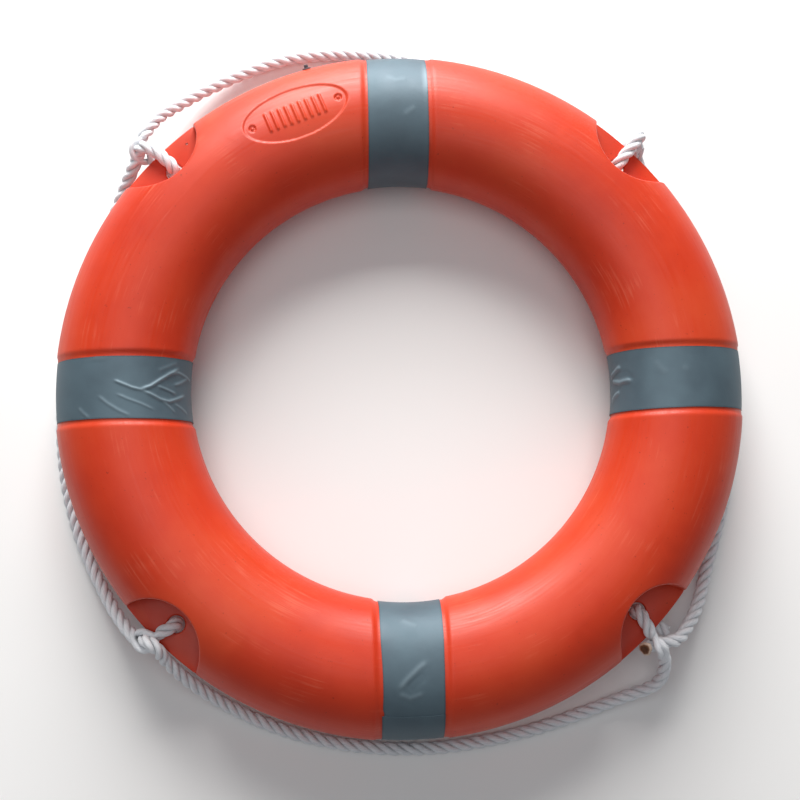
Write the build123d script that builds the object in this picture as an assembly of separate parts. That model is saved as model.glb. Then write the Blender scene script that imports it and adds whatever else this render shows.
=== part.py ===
from build123d import *
import os
from math import cos, pi, radians, sin, sqrt, tan

# Ring lifebuoy, lying flat. Millimetres. Origin: bottom centre of the ring, +Z along its axis.
# Bearings are in degrees, counter-clockwise from +X. The ring rests on z = 0.

# ---- ring body
ring_outer_diameter = 720.0
ring_inner_diameter = 440.0
ring_thickness = 115.0
shell_wall = 2.2
foam_gap = 0.2

# ---- reflective bands, each stuck down in a shallow groove right round the ring's section
band_width = 62.7
band_side_gap = 2.4
band_thickness = 0.8
groove_depth = 2.0
band_bearings = {"band_top": 90.0, "band_left": 180.0, "band_bottom": 270.0, "band_right": 0.0}

# ---- rope recesses: a scoop above and below a flat web that carries the rope hole
recess_bearings = {"upper_right": 45.0, "upper_left": 135.0, "lower_left": 225.0, "lower_right": 315.0}
recess_radius = 50.0
recess_axis_outside_edge = 7.0
web_thickness = 6.0
rope_hole_clearance = 2.0
rope_hole_inside_edge = 25.0

# ---- moulded oval mark on the front face, with plain raised bars in it
mark_bearing = 110.7
mark_outside_section_centre = 12.0
mark_length = 115.0
mark_width = 56.0
mark_depth = 0.8
mark_bar_count = 9
mark_bar_width = 2.6
mark_bar_length = 22.0
mark_bar_spacing = 7.5
mark_pin_spacing = 95.0
mark_pin_radius = 4.0
mark_pin_boss_radius = 1.7
mark_pin_depth = 1.4

# ---- plug in the foaming hole on the outer edge, and a small vent hole in one web
plug_bearing = 105.4
plug_above_middle = 18.5
plug_shank_radius = 2.8
plug_head_radius = 4.5
plug_head_thickness = 1.4
plug_nib_radius = 2.2
plug_nib_length = 3.6
vent_bearing = 129.9
vent_inside_edge = 11.0
vent_radius = 1.2

# ---- grab rope
rope_diameter = 14.0
rope_seat_gap = 0.4
rope_floor_gap = 0.3
knot_outside_edge = 14.0
knot_half_length = 11.0
knot_drops = {"upper_right": 9.0, "upper_left": 0.0, "lower_left": 0.0, "lower_right": 0.0}
rope_end_length = 19.0
rope_end_outside_edge = 16.6
rope_end_from_corner = 16.4
rope_end_below_middle = 10.5
rope_end_lean = (-8.0, 6.0, 16.0)

# Each loop's route: distance outside the ring's outer edge, bearing and rise of each corner. The rise
# is 0 where the rope lies on the floor and 1 at the webs' middle height.
loop_routes = {
    "grab_loop_top": [
        (31.3, 132.8, 0.890), (38.0, 130.4, 0.711), (40.0, 126.9, 0.432), (42.4, 121.8, 0.153),
        (42.6, 115.3, 0.014), (42.0, 107.7, 0.000), (35.1, 99.6, 0.000), (25.0, 90.9, 0.000),
        (17.6, 82.1, 0.000), (12.0, 73.1, 0.000), (9.4, 64.3, 0.000), (6.9, 56.2, 0.074),
        (5.0, 50.3, 0.313), (6.6, 47.2, 0.552),
    ],
    "grab_loop_left": [
        (15.1, 220.8, 0.890), (16.3, 217.9, 0.691), (15.3, 213.5, 0.392), (14.8, 207.7, 0.114),
        (12.9, 201.1, 0.000), (9.4, 193.6, 0.000), (5.5, 185.2, 0.000), (2.9, 176.0, 0.000),
        (1.4, 166.9, 0.000), (2.5, 158.0, 0.000), (5.5, 150.1, 0.034), (10.5, 144.3, 0.253),
        (13.9, 140.9, 0.532), (14.8, 138.6, 0.811),
    ],
    "grab_loop_bottom": [
        (8.9, 227.9, 0.890), (12.1, 230.2, 0.671), (14.4, 234.0, 0.373), (16.0, 239.8, 0.094),
        (16.6, 247.5, 0.000), (15.7, 256.0, 0.000), (15.5, 265.0, 0.000), (17.0, 274.1, 0.000),
        (18.9, 283.1, 0.000), (24.4, 291.4, 0.000), (31.2, 299.1, 0.024), (39.8, 305.1, 0.133),
        (48.9, 308.9, 0.353), (45.4, 311.2, 0.612), (32.8, 312.4, 0.871),
    ],
    "grab_loop_right": [
        (27.8, 317.1, 0.831), (29.5, 319.7, 0.631), (28.0, 323.3, 0.353), (22.0, 327.7, 0.094),
        (15.2, 333.6, 0.000), (10.9, 341.1, 0.000), (7.0, 349.6, 0.000), (4.1, 358.7, 0.000),
        (3.5, 7.9, 0.000), (3.8, 16.9, 0.000), (4.1, 25.7, 0.000), (5.8, 34.1, 0.074),
        (5.7, 39.8, 0.313), (6.5, 43.0, 0.552),
    ],
}

# ---- sizes that follow from those above
outer_radius = ring_outer_diameter / 2
inner_radius = ring_inner_diameter / 2
section_centre = (outer_radius + inner_radius) / 2
section_half_width = (outer_radius - inner_radius) / 2
section_half_height = ring_thickness / 2
mid_height = ring_thickness / 2
recess_from_axis = outer_radius + recess_axis_outside_edge
rope_hole_from_axis = outer_radius - rope_hole_inside_edge
mark_from_axis = section_centre + mark_outside_section_centre
groove_width = band_width + 2 * band_side_gap
rope_radius = rope_diameter / 2
rope_hole_radius = rope_radius + rope_hole_clearance
lying_height = rope_radius + rope_floor_gap
leg_height = web_thickness / 2 + rope_radius + rope_seat_gap
knot_from_axis = outer_radius + knot_outside_edge


def polar(from_axis, bearing, height):
    """The point at a distance from the ring's axis, a bearing and a height."""
    return Vector(from_axis * cos(radians(bearing)), from_axis * sin(radians(bearing)), height)


def ring_arc(bearing, depth):
    """A third of the ring, centred on a bearing, with its section drawn in by a depth all round."""
    section = Ellipse(section_half_width - depth, section_half_height - depth)
    start = Rot(0, 0, bearing - 60) * Plane.XZ.location * Pos(section_centre, mid_height)
    return revolve(start * section, Axis.Z, revolution_arc=120)


def across(bearing, width):
    """A block that holds a width of the ring's section at a bearing."""
    outwards = (Align.MIN, Align.CENTER, Align.CENTER)
    block = Box(ring_outer_diameter, width, 2 * ring_thickness, align=outwards)
    return Rot(0, 0, bearing) * Pos(0, 0, mid_height) * block


def between_grooves(bearing, half_groove):
    """A block that holds the quarter of the ring that follows the groove at a bearing."""
    corner = (Align.MIN, Align.MIN, Align.CENTER)
    block = Box(ring_outer_diameter, ring_outer_diameter, 2 * ring_thickness, align=corner)
    return Rot(0, 0, bearing) * Pos(half_groove, half_groove, mid_height) * block


def grooved_ring(depth, width):
    """The ring drawn in by a depth, with a groove of this width across it at each band."""
    pieces = []
    for bearing in band_bearings.values():
        pieces.append(ring_arc(bearing, depth + groove_depth) & across(bearing, width))
        pieces.append(ring_arc(bearing + 45, depth) & between_grooves(bearing, width / 2))
    return pieces[0].fuse(*pieces[1:])


def upright(radius, from_axis, bearing, low, high):
    """An upright cylinder between two heights, at a distance from the ring's axis and a bearing."""
    body = Cylinder(radius, high - low, align=(Align.CENTER, Align.CENTER, Align.MIN))
    return Pos(*polar(from_axis, bearing, low)) * body


def mark_place(along, across):
    """A place on the mark, along the ring's circumference and across it from the mark's centre."""
    centre = Pos(*polar(mark_from_axis, mark_bearing, mid_height))
    return centre * Rot(0, 0, mark_bearing - 90) * Pos(along, across)


def cut_mark(body):
    """The body with its shallow oval, in which the bars stand, and the ring round each pin."""
    pocket = extrude(mark_place(0, 0) * Ellipse(mark_length / 2, mark_width / 2), ring_thickness)
    for bar in range(mark_bar_count):
        along = (bar - (mark_bar_count - 1) / 2) * mark_bar_spacing
        pocket -= extrude(mark_place(along, 0) * Rectangle(mark_bar_width, mark_bar_length), ring_thickness)
    body -= pocket - ring_arc(mark_bearing, mark_depth)
    for along in (-mark_pin_spacing / 2, mark_pin_spacing / 2):
        pin_ring = mark_place(along, 0) * (Circle(mark_pin_radius) - Circle(mark_pin_boss_radius))
        body -= extrude(pin_ring, ring_thickness) - ring_arc(mark_bearing, mark_pin_depth)
    return body


def make_cavity(gap):
    """The room inside the shell, kept a gap away from its walls."""
    wall = shell_wall + gap
    cavity = grooved_ring(wall, groove_width + 2 * wall)
    scoop = recess_radius + wall
    for bearing in recess_bearings.values():
        cavity -= upright(scoop, recess_from_axis, bearing, -ring_thickness, 2 * ring_thickness)
    return cavity


def plug_place():
    """The vent plug's place: on the body's surface, with its Z axis pointing out of the body."""
    reach = section_half_width * sqrt(1 - (plug_above_middle / section_half_height) ** 2)
    slope = Vector(reach / section_half_width**2, 0, plug_above_middle / section_half_height**2).normalized()
    return Plane(
        origin=polar(section_centre + reach, plug_bearing, mid_height + plug_above_middle),
        z_dir=polar(slope.X, plug_bearing, slope.Z),
    )


def make_shell():
    """The moulded outer skin, with its grooves, recesses, webs, rope holes and mark."""
    body = grooved_ring(0, groove_width)
    for bearing in recess_bearings.values():
        web_top = mid_height + web_thickness / 2
        web_bottom = mid_height - web_thickness / 2
        body -= upright(recess_radius, recess_from_axis, bearing, web_top, 2 * ring_thickness)
        body -= upright(recess_radius, recess_from_axis, bearing, -ring_thickness, web_bottom)
        body -= upright(rope_hole_radius, rope_hole_from_axis, bearing, 0, ring_thickness)
    body = cut_mark(body)
    body -= upright(vent_radius, outer_radius - vent_inside_edge, vent_bearing, 0, ring_thickness)
    body -= make_cavity(0)
    body -= plug_place() * Cylinder(plug_shank_radius, 4 * shell_wall)
    return body


def make_vent_plug():
    """The plug in the foaming hole: its shank, its head and the nib that it is pushed home by."""
    outwards = (Align.CENTER, Align.CENTER, Align.MIN)
    shank = Cylinder(plug_shank_radius, shell_wall, align=(Align.CENTER, Align.CENTER, Align.MAX))
    neck = Cylinder(plug_shank_radius, plug_head_thickness, align=outwards)
    head = Pos(0, 0, plug_head_thickness / 2) * Cylinder(plug_head_radius, plug_head_thickness, align=outwards)
    nib = Pos(0, 0, plug_head_thickness) * Cylinder(plug_nib_radius, plug_nib_length, align=outwards)
    return plug_place() * (shank + neck + head + nib)


def make_band(bearing):
    """One reflective band: a film on the floor of its groove, right round the section."""
    film = ring_arc(bearing, groove_depth - band_thickness) - ring_arc(bearing, groove_depth)
    return film & across(bearing, band_width)


def make_loop(name, route):
    """One grab loop: straight runs joined by arcs as large as the runs allow."""
    points = []
    for outside, bearing, rise in route:
        height = lying_height + rise * (mid_height - lying_height)
        points.append(polar(outer_radius + outside, bearing, height))
    radii = []
    for before, corner, after in zip(points, points[1:], points[2:]):
        arriving = corner - before
        leaving = after - corner
        half_turn = radians(arriving.get_angle(leaving)) / 2
        radii.append(0.45 * min(arriving.length, leaving.length) / tan(half_turn))
    path = FilletPolyline(*points, radius=radii)
    section = Plane(origin=path @ 0, z_dir=path % 0) * Circle(rope_radius)
    loop = sweep(section, path=path)
    print(name, "length", round(path.length, 1), "radii", [round(radius) for radius in radii])
    plain_volume = pi * rope_radius**2 * path.length
    print(name, "volume over section times length", round(loop.volume / plain_volume, 4))
    return loop


def make_hitch(bearing, knot_drop):
    """Rope through a web's hole and round the web's edge, with the knot that the loops leave."""
    inner_bend = rope_hole_from_axis + leg_height
    outer_bend = knot_from_axis - leg_height
    slot = SlotCenterToCenter(outer_bend - inner_bend, 2 * leg_height)
    round_the_web = Plane.XZ * Pos((inner_bend + outer_bend) / 2, 0) * slot
    path = round_the_web.face().outer_wire()
    rope = sweep(Plane(origin=path @ 0, z_dir=path % 0) * Circle(rope_radius), path=path)
    knot = Pos(knot_from_axis, 0, -knot_drop) * Rot(90, 0, 0) * Cylinder(rope_radius, 2 * knot_half_length)
    return Rot(0, 0, bearing) * Pos(0, 0, mid_height) * (rope + knot)


def make_rope_end(bearing, hitch):
    """The rope's melted end, standing out of the knot of the hitch it belongs to."""
    beside = Pos(outer_radius + rope_end_outside_edge, -rope_end_from_corner)
    start = Rot(0, 0, bearing) * beside * Pos(0, 0, mid_height - rope_end_below_middle)
    foot = Plane(origin=start.position, z_dir=Vector(*rope_end_lean))
    outwards = (Align.CENTER, Align.CENTER, Align.MIN)
    return foot * Cylinder(rope_radius, rope_end_length, align=outwards) - hitch


nodes = {"shell": make_shell(), "foam_core": make_cavity(foam_gap), "vent_plug": make_vent_plug()}
for name, bearing in band_bearings.items():
    nodes[name] = make_band(bearing)
for name, route in loop_routes.items():
    nodes[name] = make_loop(name, route)
for corner, bearing in recess_bearings.items():
    nodes["hitch_" + corner] = make_hitch(bearing, knot_drops[corner])
nodes["rope_end"] = make_rope_end(recess_bearings["lower_right"], nodes["hitch_lower_right"])

os.makedirs("parts", exist_ok=True)
for name, shape in nodes.items():
    solids = shape.solids()
    print(name, len(solids), "solid,", round(shape.volume / 1000, 1), "cm3, valid:", shape.is_valid)
    shape.label = name
    export_step(shape, os.path.join("parts", name + ".step"))
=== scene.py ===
"""Ring lifebuoy lying flat: moulded shell, reflective bands, laid grab rope and its hitches."""

import logging
import math
from dataclasses import dataclass, field
from enum import Enum
from typing import Any, Sequence

import bpy
import numpy as np
from mathutils import Matrix, Vector


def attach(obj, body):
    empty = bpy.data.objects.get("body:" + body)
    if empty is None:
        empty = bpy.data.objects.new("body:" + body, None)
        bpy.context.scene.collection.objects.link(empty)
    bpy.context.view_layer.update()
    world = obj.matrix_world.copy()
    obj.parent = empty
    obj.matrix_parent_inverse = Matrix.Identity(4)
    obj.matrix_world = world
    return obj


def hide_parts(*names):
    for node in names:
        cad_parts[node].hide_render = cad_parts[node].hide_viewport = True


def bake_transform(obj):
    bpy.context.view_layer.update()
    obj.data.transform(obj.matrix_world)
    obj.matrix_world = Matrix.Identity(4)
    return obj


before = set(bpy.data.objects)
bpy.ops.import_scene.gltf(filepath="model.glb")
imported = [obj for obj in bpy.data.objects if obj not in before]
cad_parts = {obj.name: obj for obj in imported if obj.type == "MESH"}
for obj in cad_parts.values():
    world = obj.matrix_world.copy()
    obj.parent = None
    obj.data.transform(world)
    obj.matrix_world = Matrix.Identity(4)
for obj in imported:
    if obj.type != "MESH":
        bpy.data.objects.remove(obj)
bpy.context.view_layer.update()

logging.basicConfig(level=logging.INFO, format="%(message)s")
log = logging.getLogger("lifebuoy")

MM = 0.001
Array = np.ndarray


# ---------------------------------------------------------------- small tools


def linear(code: str) -> tuple[float, float, float, float]:
    """Turns an sRGB hex colour to linear.

    Args:
        code: six hex digits, such as "e0431f".

    Returns:
        Red, green, blue and an alpha of 1.
    """
    parts = [int(code[i : i + 2], 16) / 255 for i in (0, 2, 4)]
    red, green, blue = [c / 12.92 if c <= 0.04045 else ((c + 0.055) / 1.055) ** 2.4 for c in parts]
    return (red, green, blue, 1.0)


def add_node(tree: bpy.types.NodeTree, kind: str, settings: dict[Any, Any], links: dict[Any, Any]) -> Any:
    """Adds a node to a material, sets it up and links its inputs.

    Args:
        tree: the material's node tree.
        kind: the node's type, such as "ShaderNodeBump".
        settings: property names, or input names or numbers, with their values. The stops of a colour
            ramp are positions from 0 to 1, each with its hex colour.
        links: input names or numbers, with the output socket that feeds each.

    Returns:
        The new node.
    """
    node = tree.nodes.new(kind)
    for key, value in settings.items():
        if key == "stops":
            while len(node.color_ramp.elements) < len(value):
                node.color_ramp.elements.new(0.5)
            for element, (position, code) in zip(node.color_ramp.elements, value):
                element.position = position
                element.color = linear(code)
        elif isinstance(key, str) and hasattr(node, key) and key not in node.inputs:
            setattr(node, key, value)
        else:
            node.inputs[key].default_value = value
    for key, socket in links.items():
        tree.links.new(socket, node.inputs[key])
    return node


def new_material(name: str) -> tuple[bpy.types.Material, bpy.types.NodeTree, Any]:
    """Makes an empty node material.

    Args:
        name: the finish's name.

    Returns:
        The material, its node tree and its Principled shader.
    """
    material = bpy.data.materials.new(name)
    material.use_nodes = True
    tree = material.node_tree
    tree.nodes.clear()
    shader = add_node(tree, "ShaderNodeBsdfPrincipled", {}, {})
    add_node(tree, "ShaderNodeOutputMaterial", {}, {"Surface": shader.outputs["BSDF"]})
    return material, tree, shader


def deselect() -> None:
    """Leaves object mode clean, with nothing selected."""
    if bpy.context.object is not None and bpy.context.object.mode != "OBJECT":
        bpy.ops.object.mode_set(mode="OBJECT")
    bpy.ops.object.select_all(action="DESELECT")


def pick(obj: bpy.types.Object) -> None:
    """Makes one object the only selected and active one."""
    deselect()
    obj.select_set(True)
    bpy.context.view_layer.objects.active = obj


def settle(obj: bpy.types.Object) -> None:
    """Applies an object's place, turn and size to its mesh."""
    pick(obj)
    bpy.ops.object.transform_apply(location=True, rotation=True, scale=True)


def mesh_object(name: str, points: Array, faces: list[tuple[int, ...]]) -> bpy.types.Object:
    """Makes a mesh object from points and faces, with its doubles merged and its faces outwards.

    Args:
        name: the piece's name.
        points: the vertices, in metres.
        faces: the vertex numbers of each face.

    Returns:
        The new object, which is smooth shaded.
    """
    mesh = bpy.data.meshes.new(name)
    mesh.from_pydata([tuple(p) for p in points], [], faces)
    obj = bpy.data.objects.new(name, mesh)
    bpy.context.scene.collection.objects.link(obj)
    pick(obj)
    bpy.ops.object.mode_set(mode="EDIT")
    bpy.ops.mesh.select_all(action="SELECT")
    bpy.ops.mesh.remove_doubles(threshold=2e-6)
    bpy.ops.mesh.normals_make_consistent(inside=False)
    bpy.ops.object.mode_set(mode="OBJECT")
    bpy.ops.object.shade_smooth()
    return obj


def write_values(mesh: bpy.types.Mesh, name: str, values: Array) -> None:
    """Gives a mesh one number for each of its points.

    Args:
        mesh: the mesh.
        name: the attribute's name, which a finish reads.
        values: the numbers, in the points' order.
    """
    layer = mesh.attributes.new(name, "FLOAT", "POINT")
    layer.data.foreach_set("value", values.astype(np.float32).reshape(-1))


def smoothstep(x: Array) -> Array:
    """The smooth rise from 0 to 1 as x goes from 0 to 1."""
    x = np.clip(x, 0.0, 1.0)
    return x * x * (3 - 2 * x)


def unit(v: Array) -> Array:
    """Vectors scaled to length 1."""
    return v / np.maximum(np.linalg.norm(v, axis=-1, keepdims=True), 1e-12)


# ---------------------------------------------------------------- finishes


@dataclass(frozen=True)
class MouldedPolyethylene:
    """Rotation-moulded orange high-density polyethylene: satin skin, faint orange peel, scuffs and dust."""

    body: str = "c93715"
    faded: str = "cf4420"
    deep: str = "bd2e10"
    scuff: str = "dd6c50"
    grime: str = "6a1d10"
    roughness: float = 0.4
    # Pattern sizes here and in the other finishes were set for the look, not measured.
    cloud_size: float = 140 * MM
    scratch_length: float = 70 * MM
    scratch_width: float = 2.4 * MM
    wear_size: float = 40 * MM
    speck_size: float = 3 * MM
    peel_size: float = 1.6 * MM
    peel_depth: float = 0.05 * MM

    def make(self) -> bpy.types.Material:
        """The finish as a material."""
        material, tree, shader = new_material("moulded_polyethylene")
        place = add_node(tree, "ShaderNodeTexCoord", {}, {}).outputs["Object"]
        cloud = add_node(
            tree,
            "ShaderNodeTexNoise",
            {"Scale": 1 / self.cloud_size, "Detail": 4.0, "Roughness": 0.6},
            {"Vector": place},
        )
        stops = [(0.3, self.deep), (0.5, self.body), (0.72, self.faded)]
        colour = add_node(tree, "ShaderNodeValToRGB", {"stops": stops}, {"Fac": cloud.outputs["Fac"]})
        round_ring = add_node(
            tree, "ShaderNodeAttribute", {"attribute_name": "girth"}, {}
        ).outputs["Vector"]
        spacing = (1 / self.scratch_length, 1 / self.scratch_width, 1.0)
        drawn = add_node(tree, "ShaderNodeMapping", {"Scale": spacing}, {"Vector": round_ring})
        scratches = add_node(
            tree,
            "ShaderNodeTexNoise",
            {"Scale": 1.0, "Detail": 3.0, "Roughness": 0.55, "Distortion": 0.6},
            {"Vector": drawn.outputs["Vector"]},
        )
        patches = add_node(
            tree, "ShaderNodeTexNoise", {"Scale": 1 / self.wear_size, "Detail": 3.0}, {"Vector": place}
        )
        scuffed = add_node(
            tree,
            "ShaderNodeMath",
            {"operation": "MULTIPLY"},
            {0: scratches.outputs["Fac"], 1: patches.outputs["Fac"]},
        )
        worn = add_node(
            tree,
            "ShaderNodeMapRange",
            {"From Min": 0.33, "From Max": 0.46, "To Min": 0.0, "To Max": 0.3},
            {"Value": scuffed.outputs["Value"]},
        )
        scuffs = add_node(
            tree,
            "ShaderNodeMix",
            {"data_type": "RGBA", 7: linear(self.scuff)},
            {0: worn.outputs["Result"], 6: colour.outputs["Color"]},
        )
        specks = add_node(
            tree, "ShaderNodeTexNoise", {"Scale": 1 / self.speck_size, "Detail": 2.0}, {"Vector": place}
        )
        dirt = add_node(
            tree,
            "ShaderNodeMapRange",
            {"From Min": 0.7, "From Max": 0.78, "To Min": 0.0, "To Max": 0.55},
            {"Value": specks.outputs["Fac"]},
        )
        dirty = add_node(
            tree,
            "ShaderNodeMix",
            {"data_type": "RGBA", 7: linear(self.grime)},
            {0: dirt.outputs["Result"], 6: scuffs.outputs[2]},
        )
        tree.links.new(dirty.outputs[2], shader.inputs["Base Color"])
        rough = add_node(
            tree,
            "ShaderNodeMapRange",
            {
                "From Min": 0.3,
                "From Max": 0.7,
                "To Min": self.roughness - 0.05,
                "To Max": self.roughness + 0.14,
            },
            {"Value": scratches.outputs["Fac"]},
        )
        tree.links.new(rough.outputs["Result"], shader.inputs["Roughness"])
        peel = add_node(
            tree, "ShaderNodeTexNoise", {"Scale": 1 / (2 * self.peel_size), "Detail": 2.0}, {"Vector": place}
        )
        grain = add_node(
            tree,
            "ShaderNodeMath",
            {"operation": "ADD"},
            {0: peel.outputs["Fac"], 1: scratches.outputs["Fac"]},
        )
        bump = add_node(
            tree,
            "ShaderNodeBump",
            {"Strength": 0.3, "Distance": self.peel_depth},
            {"Height": grain.outputs["Value"]},
        )
        tree.links.new(bump.outputs["Normal"], shader.inputs["Normal"])
        shader.inputs["IOR"].default_value = 1.52
        shader.inputs["Specular IOR Level"].default_value = 0.4
        shader.inputs["Subsurface Weight"].default_value = 0.05
        shader.inputs["Subsurface Radius"].default_value = (1.0, 0.3, 0.1)
        shader.inputs["Subsurface Scale"].default_value = 3 * MM
        return material


@dataclass(frozen=True)
class ReflectiveTape:
    """Retro-reflective tape: matte blue-grey, with a fine bead grain, dull creases and grimy edges."""

    light: str = "576a74"
    dark: str = "50616b"
    crease: str = "75868f"
    grime: str = "34393c"
    cloud_size: float = 33 * MM
    pucker_size: float = 11 * MM
    fray_size: float = 2.4 * MM
    # Real glass beads are about a tenth of this; they are drawn coarser so that the grain shows.
    bead_size: float = 0.5 * MM

    def make(self) -> bpy.types.Material:
        """The finish as a material."""
        material, tree, shader = new_material("reflective_tape")
        place = add_node(tree, "ShaderNodeTexCoord", {}, {}).outputs["Object"]
        cloud = add_node(
            tree, "ShaderNodeTexNoise", {"Scale": 1 / self.cloud_size, "Detail": 5.0}, {"Vector": place}
        )
        stops = [(0.35, self.dark), (0.65, self.light)]
        colour = add_node(tree, "ShaderNodeValToRGB", {"stops": stops}, {"Fac": cloud.outputs["Fac"]})
        raised = add_node(tree, "ShaderNodeAttribute", {"attribute_name": "raised"}, {}).outputs["Fac"]
        rubbed = add_node(
            tree,
            "ShaderNodeMix",
            {"data_type": "RGBA", 7: linear(self.crease)},
            {0: raised, 6: colour.outputs["Color"]},
        )
        edge = add_node(tree, "ShaderNodeAttribute", {"attribute_name": "edge"}, {}).outputs["Fac"]
        fray = add_node(
            tree, "ShaderNodeTexNoise", {"Scale": 1 / self.fray_size, "Detail": 3.0}, {"Vector": place}
        )
        grimy = add_node(
            tree, "ShaderNodeMath", {"operation": "MULTIPLY"}, {0: edge, 1: fray.outputs["Fac"]}
        )
        dirty = add_node(
            tree,
            "ShaderNodeMix",
            {"data_type": "RGBA", 7: linear(self.grime)},
            {0: grimy.outputs["Value"], 6: rubbed.outputs[2]},
        )
        tree.links.new(dirty.outputs[2], shader.inputs["Base Color"])
        beads = add_node(tree, "ShaderNodeTexVoronoi", {"Scale": 1 / self.bead_size}, {"Vector": place})
        soft = add_node(
            tree, "ShaderNodeTexNoise", {"Scale": 1 / self.pucker_size, "Detail": 3.0}, {"Vector": place}
        )
        fine = add_node(
            tree,
            "ShaderNodeBump",
            {"Strength": 0.2, "Distance": 0.04 * MM},
            {"Height": beads.outputs["Distance"]},
        )
        bump = add_node(
            tree,
            "ShaderNodeBump",
            {"Strength": 0.35, "Distance": 0.35 * MM},
            {"Height": soft.outputs["Fac"], "Normal": fine.outputs["Normal"]},
        )
        tree.links.new(bump.outputs["Normal"], shader.inputs["Normal"])
        rough = add_node(
            tree,
            "ShaderNodeMapRange",
            {"From Min": 0.3, "From Max": 0.7, "To Min": 0.5, "To Max": 0.62},
            {"Value": cloud.outputs["Fac"]},
        )
        tree.links.new(rough.outputs["Result"], shader.inputs["Roughness"])
        shader.inputs["Metallic"].default_value = 0.3
        return material


@dataclass(frozen=True)
class LaidRope:
    """White three-strand rope of spun polyester: matte and fibrous, its strands' crowns painted light, with
    painted grey shade down their sides, between them and in the yarn grooves.
    """

    # The crown, shade and crease colours are painted light and shade: crowns lightest, painted shade down the
    # strands' sides, and the darkest painted shade in the valleys between strands and in the yarn grooves.
    crown: str = "f6f8fc"
    shade: str = "e6e8ec"
    crease: str = "9a9ca0"
    speck: str = "d6d7da"
    yarn_spacing: float = 1.1 * MM
    fibre_length: float = 8.3 * MM

    def make(self) -> bpy.types.Material:
        """The finish as a material."""
        material, tree, shader = new_material("laid_rope")
        uv = add_node(tree, "ShaderNodeUVMap", {"uv_map": "lay"}, {}).outputs["UV"]
        depth = add_node(tree, "ShaderNodeAttribute", {"attribute_name": "crown"}, {}).outputs["Fac"]
        turned = add_node(
            tree, "ShaderNodeMapping", {"Rotation": (0.0, 0.0, math.radians(24))}, {"Vector": uv}
        ).outputs["Vector"]
        yarn = add_node(
            tree,
            "ShaderNodeTexWave",
            {
                "wave_type": "BANDS",
                "bands_direction": "Y",
                "Scale": 0.314 / self.yarn_spacing,
                "Distortion": 1.6,
                "Detail": 3.0,
                "Detail Scale": 1.4,
            },
            {"Vector": turned},
        )
        spacing = (1 / self.fibre_length, 1 / self.yarn_spacing, 1.0)
        stretched = add_node(tree, "ShaderNodeMapping", {"Scale": spacing}, {"Vector": turned})
        fibre = add_node(
            tree, "ShaderNodeTexNoise", {"Scale": 1.0, "Detail": 5.0}, {"Vector": stretched.outputs["Vector"]}
        )
        # Painted light and shade by how far out each point stands: crowns painted light, valleys between the
        # strands in painted shade.
        stops = [(0.25, self.crease), (0.55, self.shade), (0.85, self.crown)]
        tint = add_node(tree, "ShaderNodeValToRGB", {"stops": stops}, {"Fac": depth})
        stops = [(0.3, self.speck), (0.55, "ffffff")]
        speck = add_node(tree, "ShaderNodeValToRGB", {"stops": stops}, {"Fac": fibre.outputs["Fac"]})
        colour = add_node(
            tree,
            "ShaderNodeMix",
            {"data_type": "RGBA", "blend_type": "MULTIPLY", 0: 0.6},
            {6: tint.outputs["Color"], 7: speck.outputs["Color"]},
        )
        # Painted shade in the grooves between the yarns, in the crease colour.
        lines = add_node(
            tree,
            "ShaderNodeMapRange",
            {"From Min": 0.0, "From Max": 0.45, "To Min": 0.3, "To Max": 0.0},
            {"Value": yarn.outputs["Fac"]},
        )
        yarn_shaded = add_node(
            tree,
            "ShaderNodeMix",
            {"data_type": "RGBA", 7: linear(self.crease)},
            {0: lines.outputs["Result"], 6: colour.outputs[2]},
        )
        tree.links.new(yarn_shaded.outputs[2], shader.inputs["Base Color"])
        height = add_node(
            tree, "ShaderNodeMath", {"operation": "ADD"}, {0: yarn.outputs["Fac"], 1: fibre.outputs["Fac"]}
        )
        bump = add_node(
            tree,
            "ShaderNodeBump",
            {"Strength": 0.75, "Distance": 0.3 * MM},
            {"Height": height.outputs["Value"]},
        )
        tree.links.new(bump.outputs["Normal"], shader.inputs["Normal"])
        shader.inputs["Roughness"].default_value = 0.85
        shader.inputs["Sheen Weight"].default_value = 0.2
        shader.inputs["Specular IOR Level"].default_value = 0.3
        return material


@dataclass(frozen=True)
class MeltedFibre:
    """Rope fibre melted to a hard brown bead by the hot blade that cut it."""

    burnt: str = "4d2e1c"
    core: str = "7f5233"
    rim: str = "cdb6a4"
    blister_size: float = 3 * MM

    def make(self) -> bpy.types.Material:
        """The finish as a material."""
        material, tree, shader = new_material("melted_fibre")
        place = add_node(tree, "ShaderNodeTexCoord", {}, {}).outputs["Object"]
        noise = add_node(
            tree, "ShaderNodeTexNoise", {"Scale": 1 / self.blister_size, "Detail": 4.0}, {"Vector": place}
        )
        rim = add_node(tree, "ShaderNodeAttribute", {"attribute_name": "rim"}, {}).outputs["Fac"]
        mixed = add_node(
            tree, "ShaderNodeMath", {"operation": "MULTIPLY_ADD", 1: 0.5}, {0: noise.outputs["Fac"], 2: rim}
        )
        stops = [(0.2, self.burnt), (0.45, self.core), (1.0, self.rim)]
        colour = add_node(tree, "ShaderNodeValToRGB", {"stops": stops}, {"Fac": mixed.outputs["Value"]})
        tree.links.new(colour.outputs["Color"], shader.inputs["Base Color"])
        bump = add_node(
            tree, "ShaderNodeBump", {"Strength": 0.6, "Distance": 0.5 * MM}, {"Height": noise.outputs["Fac"]}
        )
        tree.links.new(bump.outputs["Normal"], shader.inputs["Normal"])
        shader.inputs["Roughness"].default_value = 0.38
        return material


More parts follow.
